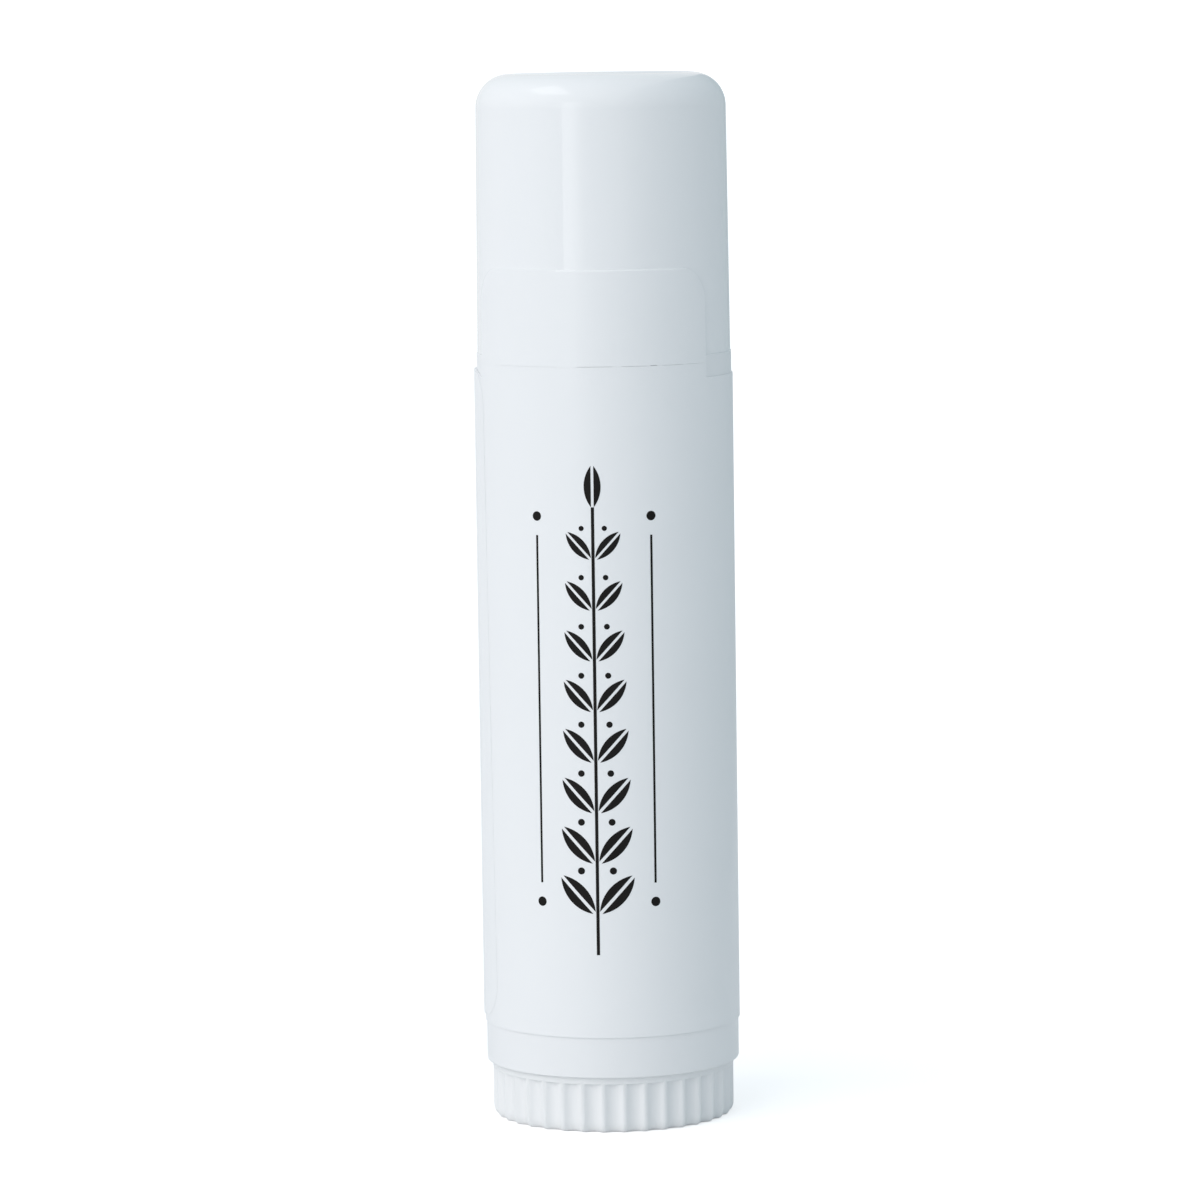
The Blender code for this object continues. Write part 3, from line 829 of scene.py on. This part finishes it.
label = flat_sheet("label_wrap", LABEL_START, LABEL_END, LABEL_FOOT, LABEL_HEAD, GLUE)
cut_at(NECK_LEFT)
cut_at(NECK_RIGHT)
pick('EDGE', lambda place: place.z > (LABEL_HEAD - 0.01) * MM
     and along(NECK_LEFT) < place.x < along(NECK_RIGHT))
neck_rise = (0, 0, (NECK_HEAD - LABEL_HEAD) * MM)
bpy.ops.mesh.extrude_region_move(TRANSFORM_OT_translate={"value": neck_rise})
cut_at(CREEP_FROM)
for limit, where, rise in TUCKS:
    cut_at(limit)
    pick('VERT', lambda place: place.x < along(limit + 0.5)
         and (place.z < (LABEL_FOOT + 1) * MM if where == "foot"
              else place.z > (LABEL_HEAD - 1) * MM))
    bpy.ops.transform.translate(value=(0, 0, rise * MM))
pick('VERT', lambda place: place.x > along(LABEL_END - 1))
bpy.ops.transform.translate(value=(0, 0, LABEL_CREEP * MM))
pick('VERT', lambda place: place.x > along(LABEL_END - 1) and place.z > LABEL_HEAD * MM)
bpy.ops.transform.translate(value=(-along(END_SLANT), 0, 0))
corners = pick('VERT', lambda place: place.x > along(LABEL_END - 8))
bpy.ops.mesh.bevel(offset=LAP_CORNER * MM, segments=CORNER_STEPS, affect='VERTICES')
print("rounded corners:", corners)

# %% Lift the lap over the label's start
LAP_FROM = 258
LAP_TO = 262
LAP_RISE = FILM + 0.004
PRESSED_BACK = 14
END_SHARE = 0.12

cut_strips(LABEL_START, LABEL_END)
for degrees in range(LAP_FROM + STRIP, LAP_TO + 1, STRIP):
    pick('VERT', lambda place: place.x > along(degrees - 0.5))
    bpy.ops.transform.translate(value=(0, -LAP_RISE * MM * STRIP / (LAP_TO - LAP_FROM), 0))
end = press_down(label, lambda place: place.x > along(LABEL_END - PRESSED_BACK), END_SHARE)
wrap(label, FILM, end)
smooth(label)

# %% Give the film its satin
film_satin = surface("film_satin", (0.86, 0.87, 0.88), 0.004, (6, 1), (0.34, 0.4), 0.12, 0.0005)
dress(label, film_satin, "label_film", "barrel", "wrap_label")

# %% [markdown]
# ## The tear tab
# The same film goes on upwards as a tab that is glued to the cap. Between the two the film is
# perforated: it is cut through in dashes, and short ties of film hold it until the cap is
# first pulled. A blade wears and a film stretches, so each dash has its own length and gapes
# in its own way, and its ends taper off. The dashes are cut up into the tab here: where there
# is none, the tab still meets the label. The cap narrows upwards, so the tab leans in with it.
# Along most of its head the film is pressed down to a narrow slope, which catches the light.

# %% Cut the tab flat and cut the dashes into its foot
TAB_HEAD = 54.61
TAB_LEAN = 0.096
TAB_CORNER = 2.2
TAB_RIM = 0.11
RIM_FROM = -23
RIM_SHARE = 0.05
DASH_TAPER = 0.6
DASHES = [(-57, -44, 0.004), (-43, -20.5, 0.006), (-12.3, 4, 0.018), (7.2, 19.1, 0.014),
          (20.4, 24, 0.048), (26.4, 37.2, 0.01), (38.4, 50.4, 0.007)]

tab = flat_sheet("tab_film", NECK_LEFT, NECK_RIGHT, NECK_HEAD, TAB_HEAD, GLUE)
pick('VERT', lambda place: place.z > (TAB_HEAD - 0.1) * MM)
bpy.ops.transform.translate(value=(0, TAB_LEAN * MM, 0))
bpy.ops.mesh.bevel(offset=TAB_CORNER * MM, segments=CORNER_STEPS, affect='VERTICES')
bpy.ops.mesh.select_all(action='SELECT')
bpy.ops.mesh.bisect(plane_co=(0, 0, (TAB_HEAD - TAB_RIM) * MM), plane_no=(0, 0, 1),
                    threshold=WELD)
for first, last, gape in DASHES:
    for degrees in (first, first + DASH_TAPER, last - DASH_TAPER, last):
        cut_at(degrees)
    pick('VERT', lambda place: place.z < (NECK_HEAD + 0.001) * MM
         and along(first + DASH_TAPER - 0.1) < place.x < along(last - DASH_TAPER + 0.1))
    bpy.ops.transform.translate(value=(0, 0, gape * MM))
cut_strips(NECK_LEFT, NECK_RIGHT)
rim = press_down(tab, lambda place: place.z > (TAB_HEAD - TAB_RIM / 2) * MM
                 and place.x > along(RIM_FROM), RIM_SHARE)
wrap(tab, FILM, rim)
smooth(tab)
dress(tab, film_satin, "label_film", "cap", "tear_tab")

# %% [markdown]
# ## The print
# The film is printed in one dark warm ink. The design here is a plain leafy sprig between two
# thin rules, with nothing to read. It could be painted by a shader, but small crisp shapes
# are sharper as a mesh: each is drawn flat, like the label, gets the thickness of a layer
# of ink and is wrapped. A leaf is modelled once, from two slices of a large circle that stand
# back to back with a narrow vein between them, and copied up the stem.

# %% Draw one leaf
INK = 0.012
INK_LIFT = GLUE + FILM - 0.002
LEAF_LENGTH = 3.3
HALF_LEAF = 0.62
VEIN = 0.09


def flat_circle(name, points, radius):
    """A filled circle in millimetres that lies flat in the XZ plane and faces the front."""
    choose_nothing()
    bpy.ops.mesh.primitive_circle_add(vertices=points, radius=radius * MM, fill_type='NGON')
    piece = bpy.context.object
    piece.name = name
    piece.rotation_euler.x = math.radians(90)
    bpy.ops.object.transform_apply(location=True, rotation=True, scale=True)
    return piece


bow = (LEAF_LENGTH ** 2 / 4 + HALF_LEAF ** 2) / (2 * HALF_LEAF)
leaf = flat_circle("leaf", 96, bow)
open_piece(leaf)
bpy.ops.mesh.select_all(action='SELECT')
bpy.ops.transform.translate(value=((HALF_LEAF - bow) * MM, 0, 0))
bpy.ops.mesh.bisect(plane_co=(VEIN / 2 * MM, 0, 0), plane_no=(1, 0, 0), clear_inner=True)
bpy.ops.mesh.select_all(action='SELECT')
bpy.ops.mesh.delete_loose()
bpy.ops.mesh.select_all(action='SELECT')
bpy.ops.mesh.duplicate()
bpy.ops.transform.rotate(value=math.pi, orient_axis='Y', center_override=(0, 0, 0))
bpy.ops.mesh.select_all(action='SELECT')
bpy.ops.transform.translate(value=(0, 0, LEAF_LENGTH / 2 * MM))
choose_nothing()
print("the leaf has", len(leaf.data.polygons), "halves with", len(leaf.data.vertices), "points")

# %% Lay out the sprig


def copy_flat(piece, degrees, height, turn=0.0, size=1.0):
    """A copy of a flat shape with its own mesh, turned, sized and put at an angle and a height."""
    choose_nothing()
    bpy.context.view_layer.objects.active = piece
    piece.select_set(True)
    bpy.ops.object.duplicate()
    copy = bpy.context.object
    copy.rotation_euler.y = math.radians(turn)
    copy.scale = (size, size, size)
    copy.location = (along(degrees), 0, height * MM)
    bpy.ops.object.transform_apply(location=True, rotation=True, scale=True)
    return copy


def rule(degrees, width, low, high):
    """A thin upright line of ink at an angle, between two heights."""
    half = math.degrees(width / 2 / TUBE_RADIUS)
    piece = flat_sheet("rule", degrees - half, degrees + half, low, high, 0)
    choose_nothing()
    return piece


SPRIG_FOOT = 11.5
SPRIG_HEAD = 42.5
SPRIG_AT = -6
STEM_WIDTH = 0.2
PAIRS = 8
FIRST_PAIR = 2.6
PAIR_STEP = 3.2
SHRINK = 0.04
LEAF_ASIDE = 0.9
LEAF_TURN = 42
BERRY_UP = 2.75
BERRY_SIZE = 0.75

berry = flat_circle("berry", 20, 0.3)
shapes = [rule(SPRIG_AT, STEM_WIDTH, SPRIG_FOOT, SPRIG_HEAD - 2.7)]
for pair in range(PAIRS):
    height = SPRIG_FOOT + FIRST_PAIR + pair * PAIR_STEP
    size = 1 - SHRINK * pair
    for side in (-1, 1):
        at = SPRIG_AT + side * LEAF_ASIDE
        shapes.append(copy_flat(leaf, at, height, side * LEAF_TURN, size))
        beside = SPRIG_AT + side * math.degrees(size / TUBE_RADIUS)
        shapes.append(copy_flat(berry, beside, height + BERRY_UP * size, 0, BERRY_SIZE * size))
shapes.append(copy_flat(leaf, SPRIG_AT, SPRIG_HEAD - 2.8, 0, 0.85))
print("the sprig has", len(shapes), "shapes")

# %% Add the side rules and join everything
SIDE_AT = 26
SIDE_WIDTH = 0.14
SIDE_FOOT = 16
SIDE_HEAD = 38
SIDE_BERRIES = (14.8, 39.2)

for side in (-1, 1):
    at = SPRIG_AT + side * SIDE_AT
    shapes.append(rule(at, SIDE_WIDTH, SIDE_FOOT, SIDE_HEAD))
    for height in SIDE_BERRIES:
        shapes.append(copy_flat(berry, at, height, 0, 1))
bpy.data.objects.remove(leaf)
bpy.data.objects.remove(berry)
choose_nothing()
for shape in shapes:
    shape.select_set(True)
ink = shapes[0]
bpy.context.view_layer.objects.active = ink
bpy.ops.object.join()
ink.name = "label_print"
ink.data.name = "label_print"

# %% Wrap the ink
open_piece(ink)
bpy.ops.mesh.select_all(action='SELECT')
bpy.ops.transform.translate(value=(0, -INK_LIFT * MM, 0))
cut_strips(-60, 60)
wrap(ink, INK)
dark_ink = surface("dark_ink", (0.0065, 0.0055, 0.005), 0.2, (1.5, 1), (0.34, 0.46), 0.1, 0.0006)
dark_ink.node_tree.nodes["Principled BSDF"].inputs["Specular IOR Level"].default_value = 0.15
dress(ink, dark_ink, "label_film", "barrel")

# %% [markdown]
# ## The balm
# The balm is cast hot into the tube from above and sets with a gently crowned top. It is a
# soft wax: light goes a little way in and comes out warm, its surface is not quite even, and
# its colour is cloudy. The carrier cup holds it from below. A long hole runs up its middle for
# the spindle, and a slot on each side passes the ribs of the tube.

# %% Spin the balm and cut its slots
BALM_RADIUS = 6.05
CROWN = 0.7
CUP_FLOOR = 6.9
CUP_RIM = 12.3
CUP_BORE = 5.1
CUP_HUB = 3
HOLE = 1.9
HOLE_TOP = 56.5
SLOT_TOP = 56.15
SLOT_HALF = 0.6

crown = [(BALM_RADIUS * step / 10, MOUTH + CROWN * (1 - (step / 10) ** 4)) for step in range(11)]
balm = draw_outline("balm_cast", crown + [
    (BALM_RADIUS, CUP_RIM), (CUP_BORE, CUP_RIM), (CUP_BORE, CUP_FLOOR), (CUP_HUB, CUP_FLOOR),
    (CUP_HUB, CUP_RIM), (HOLE, CUP_RIM), (HOLE, HOLE_TOP), (0, HOLE_TOP)])
round_corner(BALM_RADIUS, MOUTH, 0.18, 4)
spin_outline(balm, AROUND)
for side in (-1, 1):
    low_x, high_x = sorted((side * 5.75, side * 7))
    slot = box("slot", (low_x, -SLOT_HALF, 5), (high_x, SLOT_HALF, SLOT_TOP))
    combine(balm, slot, 'DIFFERENCE')
smooth(balm)

# %% Give the balm its waxy depth
wax = surface("soft_wax", (0.9, 0.84, 0.68), 0.03, (2.5, 1), (0.38, 0.55), 0.6, 0.012)
wax_shader = wax.node_tree.nodes["Principled BSDF"]
wax_shader.inputs["Subsurface Weight"].default_value = 0.35
wax_shader.inputs["Subsurface Radius"].default_value = (1, 0.7, 0.4)
wax_shader.inputs["Subsurface Scale"].default_value = 1.2 * MM
dress(balm, wax, "balm_wax", "carrier", "balm_stick")

# %% [markdown]
# ## The carrier cup
# The cup never shows: it stays inside the tube even at its highest. The CAD part has its true
# shape, with the threaded hole and the slots, so it is kept and only gets a better surface.
# It is moulded from uncoloured plastic, which is slightly greyer and duller than the tube.

# %% Give the carrier cup its surface
natural_plastic = surface("natural_plastic", (0.8, 0.81, 0.82), 0.012, (2, 2), (0.36, 0.46),
                          0.2, 0.001)
carrier_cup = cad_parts["carrier_cup"]
carrier_cup.data.materials.clear()
carrier_cup.data.materials.append(natural_plastic)
print("carrier cup has", len(carrier_cup.data.polygons), "faces")
